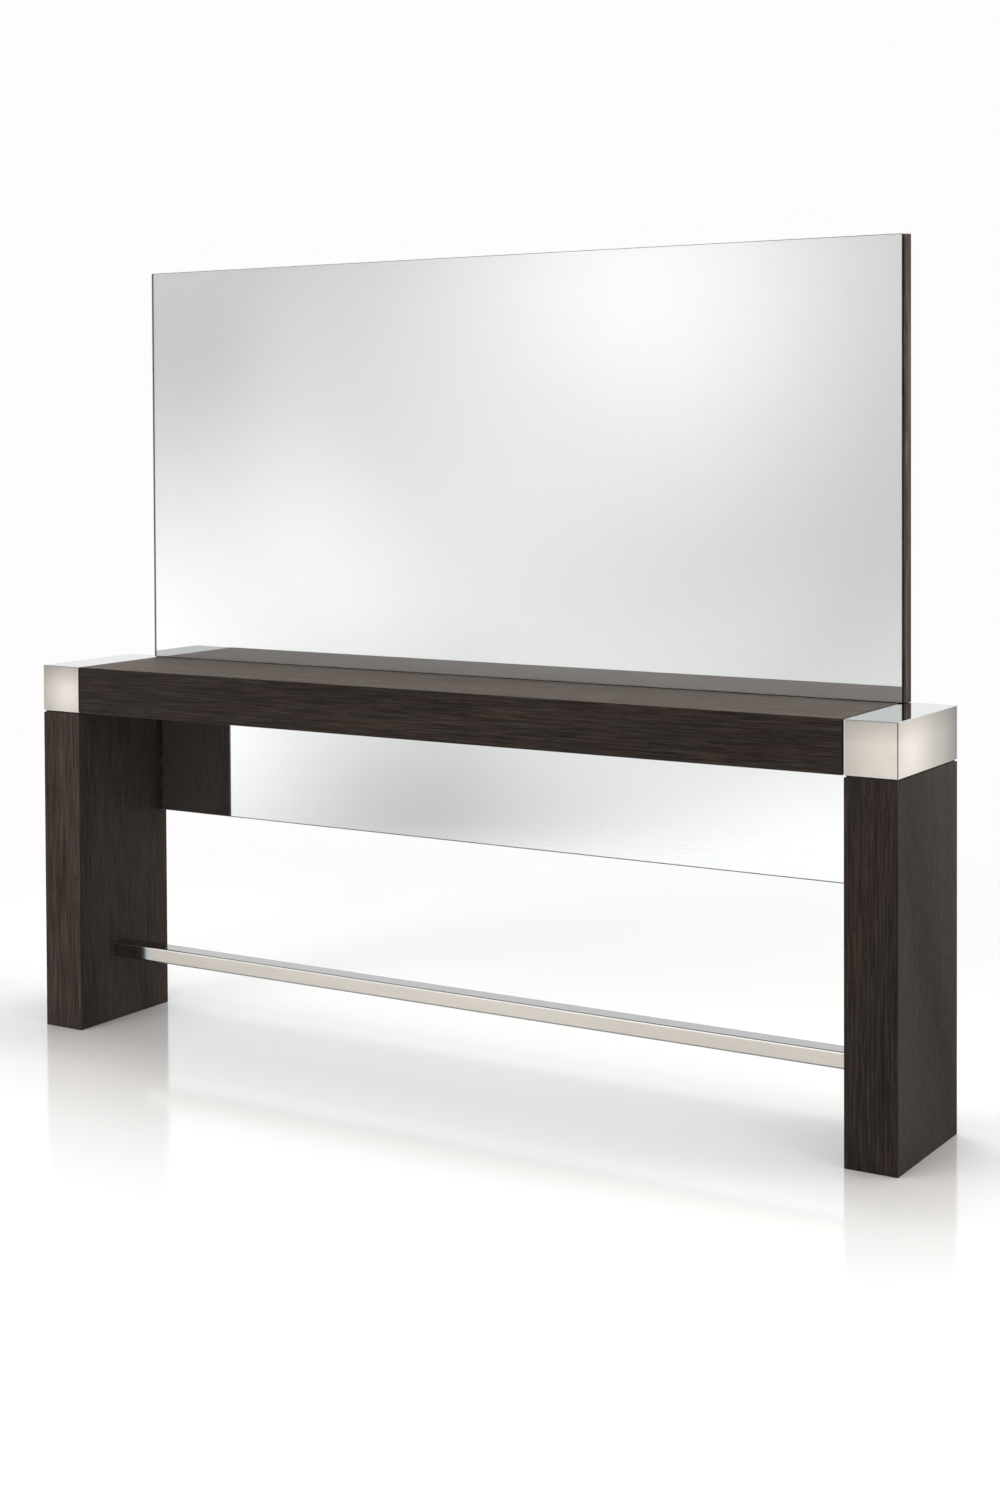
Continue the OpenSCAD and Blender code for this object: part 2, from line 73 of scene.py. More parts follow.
class Graph:
    """Short calls that add and link the nodes of one material or of the world."""

    def __init__(self, tree):
        self.tree = tree

    def put(self, socket, value):
        if isinstance(value, bpy.types.NodeSocket):
            self.tree.links.new(value, socket)
        else:
            socket.default_value = value

    def add(self, kind, inputs=None, **settings):
        """A node with its settings, and with its inputs by name."""
        node = self.tree.nodes.new(kind)
        for name, value in settings.items():
            setattr(node, name, value)
        for name, value in (inputs or {}).items():
            self.put(node.inputs[name], value)
        return node

    def fill(self, node, values):
        """The node, with its inputs given in their order."""
        for socket, value in zip(node.inputs, values):
            self.put(socket, value)
        return node

    def math(self, operation, *values):
        return self.fill(self.add("ShaderNodeMath", operation=operation), values).outputs[0]

    def vector_math(self, operation, *values):
        output = "Value" if operation in ("DOT_PRODUCT", "LENGTH", "DISTANCE") else "Vector"
        node = self.add("ShaderNodeVectorMath", operation=operation)
        return self.fill(node, values).outputs[output]

    def times(self, colour, factor):
        """The colour times one number."""
        inputs = {"Vector": colour, "Scale": factor}
        return self.add("ShaderNodeVectorMath", inputs, operation="SCALE").outputs["Vector"]

    def spread(self, value, low, high, to_low=0.0, to_high=1.0, smooth=False):
        """The value, taken from the range low to high to another range, and held there."""
        kind = "SMOOTHSTEP" if smooth else "LINEAR"
        inputs = {"Value": value, "From Min": low, "From Max": high, "To Min": to_low, "To Max": to_high}
        return self.add("ShaderNodeMapRange", inputs, interpolation_type=kind).outputs["Result"]

    def ramp(self, value, stops):
        """A colour for the value, from pairs of a place and a linear colour."""
        node = self.add("ShaderNodeValToRGB", {"Fac": value})
        elements = node.color_ramp.elements
        while len(elements) < len(stops):
            elements.new(0.5)
        for element, (place, colour) in zip(elements, stops):
            element.position = place
            element.color = (*colour, 1.0)
        return node.outputs["Color"]

    def point(self):
        return self.add("ShaderNodeTexCoord").outputs["Object"]

    def coordinate(self, axis):
        """The place along one axis."""
        return self.add("ShaderNodeSeparateXYZ", {"Vector": self.point()}).outputs[axis]

    def board_value(self, name):
        """A number that make_piece stores on each piece."""
        return self.add("ShaderNodeAttribute", attribute_name=name).outputs["Fac"]

    def noise(self, cell, detail=3.0, roughness=0.55, seed=0.0):
        """Noise whose cells have that size in metres along X, Y and Z."""
        scale = tuple(1.0 / size for size in cell)
        place = self.vector_math("MULTIPLY", self.point(), scale)
        inputs = {"Vector": place, "W": seed, "Scale": 1.0, "Detail": detail, "Roughness": roughness}
        return self.add("ShaderNodeTexNoise", inputs, noise_dimensions="4D").outputs["Fac"]

    def clouded(self, noise, dark, light):
        """A colour that goes from dark to light with the noise."""
        return self.ramp(noise, [(NOISE_LOW, dark), (NOISE_HIGH, light)])

    def varied(self, noise, low, high):
        """A number that goes from low to high with the noise."""
        return self.spread(noise, NOISE_LOW, NOISE_HIGH, low, high)

    def bump(self, height, depth):
        """A normal from a height of 0 to 1 that stands for that depth in metres."""
        inputs = {"Height": height, "Distance": depth, "Strength": 1.0}
        return self.add("ShaderNodeBump", inputs).outputs["Normal"]

    def mix(self, share, first, second):
        """The first shader, which gives way to the second as the share goes from 0 to 1."""
        return self.fill(self.add("ShaderNodeMixShader"), (share, first, second)).outputs[0]


def new_material(name):
    material = bpy.data.materials.new(name)
    material.use_nodes = True
    graph = Graph(material.node_tree)
    return material, graph, material.node_tree.nodes["Principled BSDF"]


def set_shader(graph, shader, **values):
    for name, value in values.items():
        graph.put(shader.inputs[name.replace("_", " ")], value)


def scaled(colour, factor):
    return tuple(channel * factor for channel in colour)


def even(size):
    """The size of a cell that is as long along each axis."""
    return (size, size, size)


def stretched(along, across, length):
    """The size of a cell that is long in the named axes, for grain and brushing."""
    return tuple(length if axis in along else across for axis in "XYZ")


def axis_vector(name):
    return tuple(1.0 if axis == name else 0.0 for axis in "XYZ")


# Materials

WHITE = (1.0, 1.0, 1.0)
WENGE_DARK = (0.0110, 0.0082, 0.0068)
WENGE_MID = (0.0215, 0.0164, 0.0142)
WENGE_LIGHT = (0.0450, 0.0345, 0.0290)
STEEL_COLOUR = (0.80, 0.748, 0.682)
# Painted reflection: polished steel is given a cooler, darker colour than the satin
POLISHED_REFLECTION_COLOUR = (0.70, 0.725, 0.74)

# The width and the length of each part of the veneer's figure
FIBRE = (0.0019, 0.085)
STREAK = (0.0042, 0.15)
BAND = (0.060, 0.9)
PORE = (0.0011, 0.030)
HUE_BAND = (0.012, 0.25)
VENEER_RELIEF = 0.00035

# The width and the length of the brushing's lines, and of its patches
BRUSH_LINE = (0.00045, 0.05)
BRUSH_PATCH = (0.05, 0.16)

# Painted reflection: where each cap's painted glow is lightest, from the lower front right corner of its
# box, and how far from there its painted shade is darkest
CAP_PAINTED_GLOWS = {
    "left_cap_shell": ((-0.034, 0.0, 0.044), 0.16),
    "right_cap_shell": ((0.0, 0.065, 0.047), 0.27),
}
# Height of the band of painted shade under the caps' top
CAP_PAINTED_SHADE_BAND = 0.045
# How far inside the mirror's edge the painted shade, black, on the panel's front ends
RIM_PAINTED_SHADE_INSET = 0.002


def wenge(name, along, tone=1.0, shading=None):
    """Satin wenge veneer: fine streaks along one axis, broader bands of tone, and open pores."""
    material, graph, shader = new_material(name)
    seed = graph.board_value("grain_seed")
    fibre = graph.noise(stretched(along, *FIBRE), detail=2.0, seed=seed)
    streak = graph.noise(stretched(along, *STREAK), detail=3.0, roughness=0.6, seed=seed)
    band = graph.noise(stretched(along, *BAND), detail=2.0, seed=seed)
    pore = graph.spread(graph.noise(stretched(along, *PORE), detail=1.0, seed=seed), 0.57, 0.66)
    figure = graph.math("MULTIPLY", fibre, 0.45)
    figure = graph.math("MULTIPLY_ADD", streak, 0.40, figure)
    figure = graph.math("MULTIPLY_ADD", band, 0.15, figure)
    colour = graph.ramp(figure, [
        (0.39, scaled(WENGE_DARK, tone)),
        (0.49, scaled(WENGE_MID, tone)),
        (0.62, scaled(WENGE_LIGHT, tone)),
    ])
    hue = graph.noise(stretched(along, *HUE_BAND), detail=1.0, seed=seed)
    colour = graph.vector_math("MULTIPLY", colour, graph.ramp(hue, [
        (0.38, (0.97, 1.00, 1.01)),
        (0.62, (1.05, 0.98, 0.93)),
    ]))
    # Painted light and shade: each board's colour is scaled by its painted brightness, and by the painted
    # shading where given
    colour = graph.times(colour, graph.board_value("board_painted_light"))
    if shading:
        colour = graph.vector_math("MULTIPLY", colour, shading(graph))
    colour = graph.vector_math("MULTIPLY", colour, graph.ramp(pore, [
        (0.0, WHITE),
        (1.0, scaled(WHITE, 0.45)),
    ]))
    height = graph.math("MULTIPLY_ADD", pore, -0.5, figure)
    set_shader(
        graph, shader,
        Base_Color=colour,
        Roughness=graph.spread(figure, 0.42, 0.58, 0.38, 0.64),
        Specular_IOR_Level=0.09,
        Specular_Tint=(1.0, 0.86, 0.74, 1.0),
        Sheen_Weight=0.24,
        Sheen_Roughness=0.30,
        Sheen_Tint=(1.0, 0.81, 0.67, 1.0),
        Normal=graph.bump(height, VENEER_RELIEF),
    )
    return material


def brushed_steel(name, along, roughness, colour=STEEL_COLOUR, anisotropy=0.6, shading=None):
    """Steel brushed along one axis, or along both level axes, with the unevenness of handwork."""
    material, graph, shader = new_material(name)
    lines = graph.noise(stretched(along, *BRUSH_LINE), detail=2.0)
    patch = graph.noise(stretched(along, *BRUSH_PATCH), detail=2.0)
    tone = graph.math("MULTIPLY_ADD", lines, 0.45, graph.math("MULTIPLY", patch, 0.55))
    shade = graph.ramp(tone, [(0.38, scaled(colour, 0.93)), (0.62, colour)])
    # Painted light and shade: the painted glow or painted reflection, where given, scales the colour
    if shading:
        shade = graph.vector_math("MULTIPLY", shade, shading(graph))
    if along == "XY":
        spread_axis = axis_vector("Z")
    else:
        normal = graph.add("ShaderNodeNewGeometry").outputs["Normal"]
        spread_axis = graph.vector_math("CROSS_PRODUCT", normal, axis_vector(along))
    set_shader(
        graph, shader,
        Base_Color=shade,
        Metallic=1.0,
        Roughness=graph.varied(tone, roughness * 0.9, roughness * 1.1),
        Anisotropic=anisotropy,
        Tangent=graph.vector_math("NORMALIZE", spread_axis),
        Normal=graph.bump(lines, 0.000006),
    )
    return material


def rim_painted_shade(graph):
    """Painted shade: the panel's front is painted black behind the mirror, up to just inside its edge,
    where the gap beside the pane shows shade, and bare in the rim that shows beside it.
    """
    across = graph.math("ABSOLUTE", graph.coordinate("X"))
    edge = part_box("upper_mirror")[1].x
    bare = graph.spread(across, edge - RIM_PAINTED_SHADE_INSET, edge - RIM_PAINTED_SHADE_INSET / 2)
    return graph.ramp(bare, [(0.0, scaled(WHITE, 0.03)), (1.0, WHITE)])


def bar_painted_reflection(graph):
    """Painted reflection: the bar's satin is painted darker towards the left leg, with a blue cast at its
    very end, and lighter in the middle.
    """
    left, right = (corner.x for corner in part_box("footrest_bar"))
    return graph.ramp(graph.spread(graph.coordinate("X"), left, right), [
        (0.055, (0.75, 0.90, 1.0)),
        (0.065, (0.90, 0.895, 0.88)),
        (0.16, (0.97, 0.97, 0.96)),
        (0.50, (1.09, 1.09, 1.08)),
        (1.0, (0.98, 0.97, 0.96)),
    ])


def cap_painted_reflection(graph):
    """Painted reflection on the caps: a painted glow, lightest at a place on each, and painted shade away
    from it and upwards.
    """
    share = 1.0
    for node, (offset, reach) in CAP_PAINTED_GLOWS.items():
        low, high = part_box(node)
        glow = Vector((high.x, low.y, low.z)) + Vector(offset)
        distance = graph.vector_math("DISTANCE", graph.point(), tuple(glow))
        share = graph.math("MINIMUM", graph.math("DIVIDE", distance, reach), share)
    around = graph.ramp(share, [
        (0.0, (1.12, 1.12, 1.13)),
        (0.10, (1.10, 1.10, 1.11)),
        (0.28, (0.94, 0.94, 0.94)),
        (0.48, (0.71, 0.71, 0.705)),
        (0.62, (0.63, 0.63, 0.62)),
        (0.92, (0.32, 0.32, 0.325)),
    ])
    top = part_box("left_cap_shell")[1].z
    upwards = graph.ramp(graph.spread(graph.coordinate("Z"), top - CAP_PAINTED_SHADE_BAND, top), [
        (0.0, WHITE),
        (1.0, scaled(WHITE, 0.80)),
    ])
    return graph.vector_math("MULTIPLY", around, upwards)


def polished_steel(name, colour=POLISHED_REFLECTION_COLOUR, roughness=0.06):
    """Steel polished nearly to a mirror, with faint clouds and hairlines."""
    material, graph, shader = new_material(name)
    cloud = graph.noise(even(0.05))
    hairlines = graph.noise(stretched("Y", 0.0006, 0.04), detail=1.0)
    set_shader(
        graph, shader,
        Base_Color=graph.clouded(cloud, scaled(colour, 0.95), colour),
        Metallic=1.0,
        Roughness=graph.varied(hairlines, roughness * 0.7, roughness * 1.3),
        Normal=graph.bump(hairlines, 0.000002),
    )
    return material


def plain_metal(name, colour, roughness):
    """Plated or bare metal, with cloudy tone and a little handling wear."""
    material, graph, shader = new_material(name)
    cloud = graph.noise(even(0.004), detail=4.0)
    set_shader(
        graph, shader,
        Base_Color=graph.clouded(cloud, scaled(colour, 0.8), colour),
        Metallic=1.0,
        Roughness=graph.varied(cloud, roughness * 0.8, roughness * 1.25),
        Normal=graph.bump(cloud, 0.00004),
    )
    return material


def matt(name, colour, roughness, grain, depth):
    """Paint, rubber or plastic: one colour with a fine moulded or sprayed grain."""
    material, graph, shader = new_material(name)
    texture = graph.noise(even(grain))
    cloud = graph.noise(even(0.04), detail=2.0)
    set_shader(
        graph, shader,
        Base_Color=graph.clouded(cloud, scaled(colour, 0.75), colour),
        Roughness=graph.varied(texture, roughness - 0.06, roughness + 0.06),
        Normal=graph.bump(texture, depth),
    )
    return material


def plywood(name):
    """Raw plywood: plies stacked in Z, each with its own tone and a little grain."""
    material, graph, shader = new_material(name)
    ply = graph.noise((10.0, 10.0, 0.0032), detail=0.0)
    grain = graph.noise(stretched("X", 0.0012, 0.02))
    tone = graph.math("MULTIPLY_ADD", ply, 0.65, graph.math("MULTIPLY", grain, 0.35))
    set_shader(
        graph, shader,
        Base_Color=graph.clouded(tone, (0.25, 0.155, 0.08), (0.50, 0.36, 0.22)),
        Roughness=0.75,
        Normal=graph.bump(grain, 0.0002),
    )
    return material


def silvering(name, level=1.0):
    """The mirror's silver, seen through the glass."""
    material, graph, shader = new_material(name)
    cloud = graph.noise(even(0.4), detail=2.0)
    dark, light = (scaled(colour, level) for colour in ((0.938, 0.951, 0.949), (0.944, 0.957, 0.955)))
    set_shader(
        graph, shader,
        Base_Color=graph.clouded(cloud, dark, light),
        Metallic=1.0,
        Roughness=graph.varied(cloud, 0.0, 0.004),
    )
    return material


def glass(name, haze=0.0):
    """Float glass: nearly colourless through its thickness, deep green along its length."""
    material, graph, shader = new_material(name)
    cloud = graph.noise(even(0.3), detail=1.0)
    set_shader(
        graph, shader,
        Base_Color=graph.clouded(cloud, (0.994, 0.998, 0.997), (0.998, 1.0, 0.999)),
        Roughness=0.0,
        IOR=1.52,
        Transmission_Weight=1.0 - haze,
    )
    tint = graph.add("ShaderNodeVolumeAbsorption", {"Color": (0.40, 0.72, 0.66, 1.0), "Density": 1.6})
    output = material.node_tree.nodes["Material Output"]
    graph.put(output.inputs["Volume"], tint.outputs[0])
    return material


def glass_edge(name, colour):
    """The polished edge of a silvered pane, which lets little light back out."""
    material, graph, shader = new_material(name)
    cloud = graph.noise(even(0.02), detail=2.0)
    set_shader(
        graph, shader,
        Base_Color=graph.clouded(cloud, scaled(colour, 0.5), colour),
        Roughness=graph.varied(cloud, 0.08, 0.16),
        Specular_IOR_Level=0.12,
        Normal=graph.bump(cloud, 0.00001),
    )
    return material


# One material for each slot, apart from the mirrors' glass
MATERIALS = {
    "wenge_upright": wenge("wenge_upright", "Z"),
    "wenge_along": wenge("wenge_along", "X"),
    "wenge_panel": wenge("wenge_panel", "Z", tone=1.4),
    "plywood": plywood("plywood"),
    # The bar's satin carries a painted reflection
    "stainless": brushed_steel(
        "stainless", "X", 0.14, scaled(STEEL_COLOUR, 0.90), anisotropy=0.7, shading=bar_painted_reflection
    ),
    "frame_steel": plain_metal("frame_steel", (0.42, 0.43, 0.45), 0.42),
    "black_steel": matt("black_steel", (0.018, 0.018, 0.020), 0.55, 0.0008, 0.00003),
    "zinc_steel": plain_metal("zinc_steel", (0.58, 0.59, 0.62), 0.32),
    "black_screw": plain_metal("black_screw", (0.05, 0.05, 0.052), 0.40),
    "brass": plain_metal("brass", (0.66, 0.48, 0.20), 0.30),
    "tape": matt("tape", (0.72, 0.72, 0.70), 0.85, 0.0006, 0.00010),
    "black_rubber": matt("black_rubber", (0.011, 0.011, 0.012), 0.68, 0.0005, 0.00005),
    "black_nylon": matt("black_nylon", (0.018, 0.018, 0.019), 0.48, 0.0010, 0.00004),
    "black_spacer": matt("black_spacer", (0.010, 0.010, 0.010), 0.60, 0.0006, 0.00003),
}
# Painted light: the panel's front is a copy of its veneer painted much lighter, with painted shade in
# black beside the mirror
PANEL_RIM_LIGHT_AND_SHADE = wenge("panel_rim_painted_light_and_shade", "Z", tone=6.0, shading=rim_painted_shade)
# Painted reflection: the caps' satin carries a painted glow and painted shade
CAP_SATIN_PAINTED_GLOW = brushed_steel("cap_satin_painted_glow", "XY", 0.26, anisotropy=0.3, shading=cap_painted_reflection)
CAP_POLISHED = polished_steel("cap_polished")
# Painted shade: the seams are painted nearly black
CAP_SEAM_PAINTED_SHADE = polished_steel("cap_seam_painted_shade", colour=(0.060, 0.062, 0.058), roughness=0.25)
# Painted reflection: the top bends are painted teal
CAP_TOP_PAINTED_REFLECTION = polished_steel("cap_top_painted_reflection", colour=(0.42, 0.49, 0.47), roughness=0.20)
# Painted highlight: the free edges are painted near white, brighter than the satin
STEEL_ARRIS_HIGHLIGHT = polished_steel("steel_arris_painted_highlight", colour=(0.96, 0.94, 0.91), roughness=0.10)
# Painted shade: the bar's polished top and bottom are painted a darker grey than its satin
BAR_POLISHED_PAINTED_SHADE = polished_steel("bar_polished_painted_shade", colour=(0.43, 0.435, 0.44), roughness=0.08)
GLASS_EDGE = glass_edge("glass_edge", (0.004, 0.009, 0.008))
# Painted highlight: the panes' arrises are painted pale
GLASS_ARRIS_HIGHLIGHT = glass_edge("glass_arris_painted_highlight", (0.26, 0.32, 0.305))
# Painted shade: the lower pane's silver is a copy painted 6% darker
SILVER = {"upper": silvering("upper_silver"), "lower": silvering("lower_silver", 0.94)}
GLASS = {"upper": glass("upper_glass", haze=0.06), "lower": glass("lower_glass")}
BACKING = matt("mirror_backing", (0.11, 0.115, 0.12), 0.60, 0.0010, 0.00003)


# Pieces in mesh code

# Widths of rounded or cut edges, the panes' layers, and the bar's wall and corner radius
BOARD_EASE = 0.0005
FOOT_CHAMFER = 0.0024
SHEET_BEND = 0.0015
SHEET_ARRIS = 0.0009
PANE_ARRIS = 0.0007
SILVER_LAYER = 0.0003
LAYER_GAP = 0.00002
BAR_WALL = 0.002
BAR_CORNER = 0.004

# Closer than this, two heights count as the same
NEAR = 0.0001

# Painted light and shade: how much lighter each board's veneer is painted, where it isn't 1; the left
# leg's front and inner boards and the shelf are painted lighter, as if lit, and the right leg's front and
# outer boards darker, as if shaded
BOARD_PAINTED_LIGHT = {
    "left_leg_front_board": 1.65,
    "left_leg_inner_board": 1.45,
    "right_leg_front_board": 0.90,
    "right_leg_outer_board": 0.82,
    "shelf_board": 1.20,
}


def solid_of(node):
    """A CAD node's solid as a bmesh, with shared corners joined and flat faces whole."""
    solid = bmesh.new()
    solid.from_mesh(frame["nodes"][node].data)
    bmesh.ops.remove_doubles(solid, verts=solid.verts, dist=1e-6)
    bmesh.ops.dissolve_limit(
        solid, angle_limit=math.radians(0.5), verts=solid.verts, edges=solid.edges
    )
    return solid


def box_solid(low, high):
    solid = bmesh.new()
    bmesh.ops.create_cube(solid, size=1.0)
    for vert in solid.verts:
        vert.co = Vector(b if c > 0 else a for c, a, b in zip(vert.co, low, high))
    return solid


def round_edges(solid, edges, width, segments=2):
    bmesh.ops.bevel(
        solid, geom=edges, offset=width, segments=segments, profile=0.5,
        affect="EDGES", clamp_overlap=True,
    )


def top_of(edge):
    return max(vert.co.z for vert in edge.verts)


def sharp_edges(solid, longer_than=0.01):
    least = math.radians(30)
    return [e for e in solid.edges if e.calc_face_angle(0) > least and e.calc_length() > longer_than]


def outer_edges(solid, low, high):
    """The sharp edges that lie along the edges of the box."""
    return [e for e in sharp_edges(solid) if all(on_box_edge(v.co, low, high) for v in e.verts)]


def on_box_edge(point, low, high, margin=1e-5):
    """Whether a point lies on at least two faces of the box."""
    walls = [min(abs(c - a), abs(c - b)) < margin for c, a, b in zip(point, low, high)]
    return sum(walls) >= 2


def make_piece(name, solid, materials, replaced, seed=0.0, tone=1.0, pick=None):
    """A piece on the station's body that stands for a CAD node. pick gives a face's material."""
    mesh = bpy.data.meshes.new(name)
    solid.normal_update()
    for face in solid.faces:
        face.smooth = True
        if pick:
            face.material_index = pick(face.normal)
    solid.to_mesh(mesh)
    solid.free()
    for material in materials:
        mesh.materials.append(material)
    # Each piece stores its grain seed and its painted light and shade, a brightness that wenge scales its
    # colour by
    for label, value in (("grain_seed", seed), ("board_painted_light", tone)):
        values = mesh.attributes.new(label, "FLOAT", "POINT")
        values.data.foreach_set("value", [value] * len(mesh.vertices))
    piece = bpy.data.objects.new(name, mesh)
    bpy.context.scene.collection.objects.link(piece)
    piece.modifiers.new("flat_faces", "WEIGHTED_NORMAL").weight = 100
    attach(piece, BODY)
    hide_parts(replaced)


def faces_front(normal):
    return int(normal.y < -0.9)


def make_boards():
    """The veneered boards, with eased edges, and a chamfer where the legs meet the floor."""
    names = [f"{side}_leg_{part}_board" for side in SIDES for part in ("outer", "inner", "front", "back")]
    names += [f"beam_{part}_board" for part in ("front", "rear", "bottom")] + ["shelf_board"]
    for number, node in enumerate(names):
        solid = solid_of(node)
        lowest = [e for e in solid.edges if top_of(e) < NEAR]
        if lowest:
            round_edges(solid, lowest, FOOT_CHAMFER, segments=1)
        round_edges(solid, sharp_edges(solid), BOARD_EASE)
        slot = "wenge_upright" if "leg" in node else "wenge_along"
        make_piece(
            f"{node}_veneer", solid, [MATERIALS[slot]], node,
            seed=3.1 * number, tone=BOARD_PAINTED_LIGHT.get(node, 1.0),
        )


def make_back_panel():
    """The back panel, whose front is painted much lighter than its edges, as painted light on the rim
    beside the mirror.
    """
    solid = solid_of("back_panel")
    round_edges(solid, sharp_edges(solid, longer_than=0.05), BOARD_EASE)
    make_piece(
        "back_panel_veneer", solid, [MATERIALS["wenge_panel"], PANEL_RIM_LIGHT_AND_SHADE],
        "back_panel", seed=50.0, pick=faces_front,
    )


def make_caps():
    """The caps: a folded top and side, with a front and a back plate set into them."""
    materials = [CAP_SATIN_PAINTED_GLOW, CAP_POLISHED, CAP_SEAM_PAINTED_SHADE, CAP_TOP_PAINTED_REFLECTION, STEEL_ARRIS_HIGHLIGHT]
    for side, outwards in zip(SIDES, (-1, 1)):
        node = f"{side}_cap_shell"
        solid = solid_of(node)
        low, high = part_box(node)
        rim = [e for e in outer_edges(solid, low, high) if top_of(e) < low.z + NEAR]
        round_edges(solid, rim, SHEET_ARRIS, segments=3)
        bends = [e for e in outer_edges(solid, low, high) if top_of(e) > low.z + 2 * SHEET_ARRIS]
        round_edges(solid, bends, SHEET_BEND, segments=4)
        make_piece(
            f"{side}_cap_folded", solid, materials, node,
            pick=lambda normal: cap_finish(normal, outwards),
        )


def cap_finish(normal, outwards):
    """Satin faces; a polished top in steel painted cooler, as painted reflection; seams round the plates
    painted nearly black, as painted shade; a teal painted reflection on the top bends; and free edges,
    bright from their rounding and painted brighter as a highlight.
    """
    satin, polished, seam, top_line, arris = range(5)
    if normal.z > 0.9:
        return polished
    if max(abs(part) for part in normal) > 0.999:
        return satin
    if normal.z < -0.05 or normal.x * outwards < -0.05:
        return arris
    if abs(normal.y) < 0.05:
        return polished
    return top_line if normal.z > 0.25 else seam


def make_mirrors():
    """Each pane as clear glass with polished arrises, over a silver layer with painted backing."""
    inset = Vector((PANE_ARRIS, 0, PANE_ARRIS))
    for pane in ("upper", "lower"):
        node = f"{pane}_mirror"
        low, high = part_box(node)
        clear = box_solid(low, (high.x, high.y - SILVER_LAYER - LAYER_GAP, high.z))
        round_edges(clear, list(clear.edges), PANE_ARRIS)
        make_piece(
            f"{node}_glass", clear, [GLASS[pane], GLASS_EDGE, GLASS_ARRIS_HIGHLIGHT], node,
            pick=pane_finish,
        )
        silver = box_solid(Vector((low.x, high.y - SILVER_LAYER, low.z)) + inset, high - inset)
        make_piece(
            f"{node}_silver", silver, [BACKING, SILVER[pane]], node,
            pick=faces_front,
        )


def pane_finish(normal):
    """Clear faces, dark edges and arrises between them painted pale, as a painted highlight."""
    clear, edge, arris = range(3)
    if max(abs(part) for part in normal) < 0.99:
        return arris
    return clear if abs(normal.y) > 0.9 else edge


def make_footrest():
    """The footrest bar: a tube with rounded corners, satin in front and polished above."""
    low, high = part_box("footrest_bar")
    middle = (low + high) / 2
    reach = (high - low) / 2
    rings = []
    solid = bmesh.new()
    for inset in (0.0, BAR_WALL):
        outline = rounded_rectangle(reach.y - inset, reach.z - inset, BAR_CORNER - inset)
        for x in (low.x, high.x):
            rings.append([solid.verts.new((x, middle.y + u, middle.z + v)) for u, v in outline])
    outer_left, outer_right, inner_left, inner_right = rings
    count = len(outer_left)
    for i in range(count):
        j = (i + 1) % count
        solid.faces.new((outer_left[i], outer_left[j], outer_right[j], outer_right[i]))
        solid.faces.new((inner_left[j], inner_left[i], inner_right[i], inner_right[j]))
        solid.faces.new((outer_left[j], outer_left[i], inner_left[i], inner_left[j]))
        solid.faces.new((outer_right[i], outer_right[j], inner_right[j], inner_right[i]))
    bmesh.ops.recalc_face_normals(solid, faces=solid.faces)
    make_piece(
        "footrest_tube", solid, [MATERIALS["stainless"], BAR_POLISHED_PAINTED_SHADE, STEEL_ARRIS_HIGHLIGHT],
        "footrest_bar", pick=bar_finish,
    )


def rounded_rectangle(half_width, half_height, radius, steps=6):
    """Points round a rectangle with rounded corners, centred on the origin."""
    points = []
    for corner in range(4):
        middle_angle = math.radians(90 * corner + 45)
        centre = Vector((
            math.copysign(half_width - radius, math.cos(middle_angle)),
            math.copysign(half_height - radius, math.sin(middle_angle)),
        ))
        for step in range(steps + 1):
            angle = math.radians(90 * (corner + step / steps))
            points.append(centre + radius * Vector((math.cos(angle), math.sin(angle))))
    return points


def bar_finish(normal):
    """Satin front and back, polished top and bottom painted a darker grey as painted shade, and a bright
    line along the upper corners, painted brighter as a highlight.
    """
    satin, polished, arris = range(3)
    if abs(normal.z) < 0.01:
        return satin
    return arris if 0.0 < normal.z < 0.75 else polished


def dress_nodes():
    """Gives each CAD node the material of its slot. The mirrors' glass has its own pieces."""
    slots = {part["node"]: part["material_slot"] for part in frame["record"]["subparts"]}
    for name, node in frame["nodes"].items():
        if slots[name] in MATERIALS:
            for material_slot in node.material_slots:
                material_slot.material = MATERIALS[slots[name]]


# Studio

BACKDROP = (0.991, 0.974, 0.982)
DIFFUSE_LEVEL = 0.56

# Soft zones of the room that steel and mirrors show. Each has the azimuth from the front and the
# elevation of its middle, in degrees, its radius, and the brightness that it adds
ROOM_LEVEL = 0.85
ROOM_GAIN = 1.08
ROOM_ZONES = (
    (-34.9, -8.0, 35.6, -0.33),
    (-31.1, -1.1, 9.5, 0.86),
    (-28.5, 3.1, 7.8, 0.58),
    (-41.2, -6.3, 9.1, 0.69),
    (-23.0, -17.1, 15.2, 0.86),
    (-30.2, 0.4, 8.0, -0.80),
    (-20.0, 28.0, 20.0, 0.60),
    (0.0, 86.0, 62.0, -0.45),
    (-82.0, -8.0, 36.0, 1.10),
    (65.0, 0.0, 74.0, -0.80),
    (180.0, 10.0, 75.0, 0.06),
    (158.0, -9.0, 24.0, 0.06),
)


def direction(azimuth, elevation):
    """A direction in front of the station: azimuth 0 is -Y, and negative azimuths lie towards -X."""
    a, e = math.radians(azimuth), math.radians(elevation)
    return math.sin(a) * math.cos(e), -math.cos(a) * math.cos(e), math.sin(e)


def background(graph, colour, strength):
    inputs = {"Color": (*colour, 1.0), "Strength": strength}
    return graph.add("ShaderNodeBackground", inputs).outputs[0]


